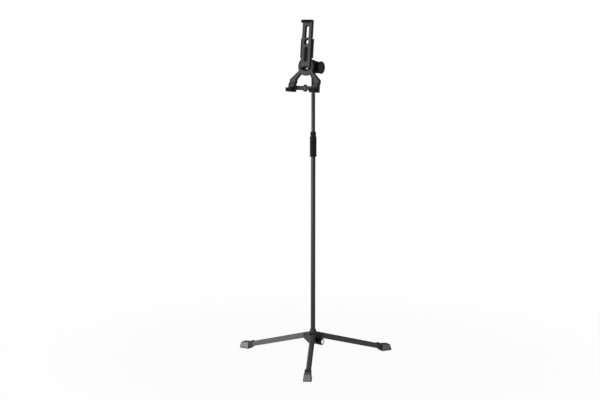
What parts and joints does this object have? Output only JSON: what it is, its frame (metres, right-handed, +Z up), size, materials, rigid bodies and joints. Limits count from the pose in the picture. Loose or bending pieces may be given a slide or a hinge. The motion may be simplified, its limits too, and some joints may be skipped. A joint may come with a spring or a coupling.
{
  "type": "tablet floor stand",
  "caption": "Floor stand for a tablet: folding tripod base, telescopic pole with twist clutch, and a tilting, turning holder with bottom ledges and a sliding top hook.",
  "frame": {"origin": "on the floor, straight under the pole's axis", "axes": "+Z up along the pole, -Y the way the holder faces, +X towards the two knobs"},
  "size_m": [0.5291, 0.6104, 1.3109],
  "materials": {
    "hub_paint": "semi-matt black enamel",
    "leg_paint": "satin black enamel",
    "tube_paint": "satin black powder coat",
    "clutch_plastic": "matt black",
    "grip_rubber": "ribbed, matt",
    "joint_plastic": "matt black",
    "knob_plastic": "matt black",
    "holder_plastic": "fine matt grain",
    "foot_rubber": "smooth, slightly shiny",
    "pad_rubber": "matt",
    "nylon": "smooth",
    "friction_lining": "matt fibre",
    "steel": "zinc plated",
    "rivet_steel": "blackened",
    "spring_steel": "bare",
    "bright_cap": "bright nickel",
    "brass": "turned"
  },
  "bodies": {
    "hub": {"hub_casting": "hub_paint", "hub_pressure_pad": "nylon", "leg_pivot_rivets": "rivet_steel", "leg_stop_pins": "rivet_steel", "leg_friction_washers": "nylon"},
    "clamp_knob": {"base_knob": "knob_plastic", "base_knob_cap": "bright_cap", "hub_clamp_screw": "steel"},
    "lower_pole": {"lower_tube": "tube_paint", "lower_tube_plug": "nylon", "clutch_body": "clutch_plastic", "clutch_collet": "nylon"},
    "clutch": {"clutch_grip": "grip_rubber", "clutch_top_ring": "clutch_plastic"},
    "pole_guide": {"upper_tube_bush": "nylon"},
    "mast": {"upper_tube": "tube_paint", "tilt_head": "joint_plastic", "tilt_head_pin": "steel", "tilt_friction_disc": "friction_lining", "tilt_bolt": "steel", "tilt_bolt_washer": "steel"},
    "bracket": {"tilt_bracket": "joint_plastic", "turntable_washer": "nylon"},
    "tilt_knob_body": {"tilt_knob": "knob_plastic", "tilt_knob_insert": "brass"},
    "holder": {"holder_frame": "holder_plastic", "turntable_retainer": "steel", "turntable_screws": "steel", "arm_brake_pad": "friction_lining", "arm_brake_spring": "spring_steel", "guide_cover": "joint_plastic", "guide_cover_screws": "steel", "ledge_pad_left": "pad_rubber", "ledge_pad_right": "pad_rubber"},
    "arm": {"slider_arm": "holder_plastic", "hook_pad": "pad_rubber"},
    "leg_left_body": {"leg_left": "leg_paint", "foot_left": "foot_rubber"},
    "leg_front_body": {"leg_front": "leg_paint", "foot_front": "foot_rubber"},
    "leg_right_body": {"leg_right": "leg_paint", "foot_right": "foot_rubber"}
  },
  "joints": [
    {"name": "leg_left_fold", "type": "hinge", "parent": "hub", "child": "leg_left_body", "pos_m": [-0.033, 0, 0.094], "axis": [0, 1, 0], "range_deg": [0, 100]},
    {"name": "leg_front_fold", "type": "hinge", "parent": "hub", "child": "leg_front_body", "pos_m": [0.0165, -0.02858, 0.094], "axis": [-0.866, -0.5, 0], "range_deg": [0, 100]},
    {"name": "leg_right_fold", "type": "hinge", "parent": "hub", "child": "leg_right_body", "pos_m": [0.0165, 0.02858, 0.094], "axis": [0.866, -0.5, 0], "range_deg": [0, 100]},
    {"name": "clamp_knob_turn", "type": "hinge", "parent": "hub", "child": "clamp_knob", "pos_m": [0, 0, 0.073], "axis": [1, 0, 0], "range_deg": [0, 360]},
    {"name": "pole_lift", "type": "slide", "parent": "hub", "child": "lower_pole", "axis": [0, 0, 1], "range_m": [0, 0.05]},
    {"name": "clutch_turn", "type": "hinge", "parent": "lower_pole", "child": "clutch", "pos_m": [0, 0, 0.83], "axis": [0, 0, 1], "range_deg": [0, 60]},
    {"name": "mast_slide", "type": "slide", "parent": "lower_pole", "child": "pole_guide", "axis": [0, 0, 1], "range_m": [-0.2, 0.3]},
    {"name": "mast_turn", "type": "hinge", "parent": "pole_guide", "child": "mast", "pos_m": [0, 0, 0.34], "axis": [0, 0, 1], "continuous": true},
    {"name": "holder_tilt", "type": "hinge", "parent": "mast", "child": "bracket", "pos_m": [0, 0, 1.131], "axis": [-1, 0, 0], "range_deg": [-20, 75]},
    {"name": "tilt_knob_turn", "type": "hinge", "parent": "mast", "child": "tilt_knob_body", "pos_m": [0, 0, 1.131], "axis": [1, 0, 0], "range_deg": [0, 360]},
    {"name": "holder_turn", "type": "hinge", "parent": "bracket", "child": "holder", "pos_m": [0, -0.05142, 1.1364], "axis": [0, -0.9945, 0.1045], "range_deg": [-90, 90]},
    {"name": "arm_slide", "type": "slide", "parent": "holder", "child": "arm", "axis": [0, 0.1045, 0.9945], "range_m": [-0.016, 0.045]}
  ]
}
